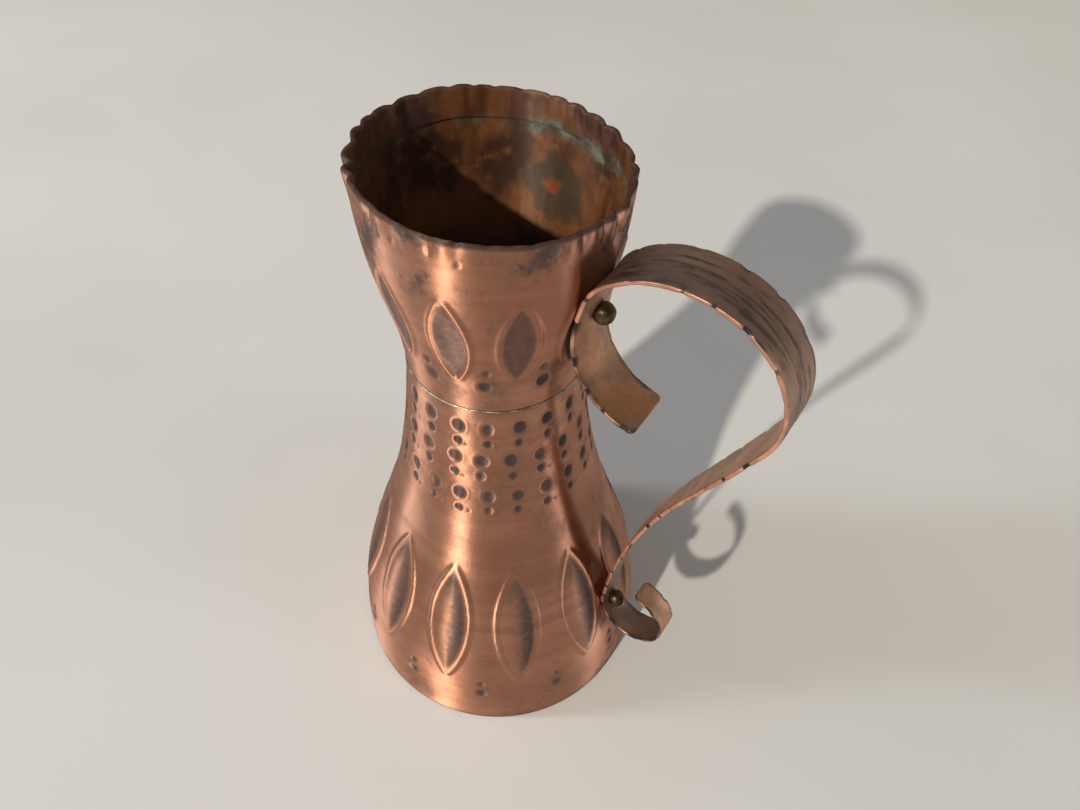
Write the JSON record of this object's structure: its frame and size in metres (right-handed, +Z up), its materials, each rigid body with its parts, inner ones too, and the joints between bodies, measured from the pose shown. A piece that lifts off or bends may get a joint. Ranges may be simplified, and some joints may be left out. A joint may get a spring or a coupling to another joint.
{
  "type": "water jug",
  "caption": "Hourglass-waisted hammered copper water jug with a scalloped rim and a riveted scrolled strap handle.",
  "frame": {"origin": "centre of the underside of the base, on the jug's axis", "axes": "+Z up along the jug's axis to the mouth, +X towards the handle"},
  "size_m": [0.1864, 0.1444, 0.2822],
  "materials": {
    "copper_body": "brushed, lightly lacquered copper with dark patina in the punched pattern",
    "copper_strap": "hammered, dark patina outside, brighter copper inside and on the edges",
    "copper_base": "plain sheet, dull",
    "solder": "dull tin solder",
    "rivet_brass": "aged, brown, lightly polished"
  },
  "bodies": {
    "root": {"lower_shell": "copper_body", "upper_shell": "copper_body", "waist_seam": "solder", "base_plate": "copper_base", "base_seam": "solder", "handle_strap": "copper_strap", "upper_rivet": "rivet_brass", "lower_rivet": "rivet_brass"}
  },
  "joints": []
}
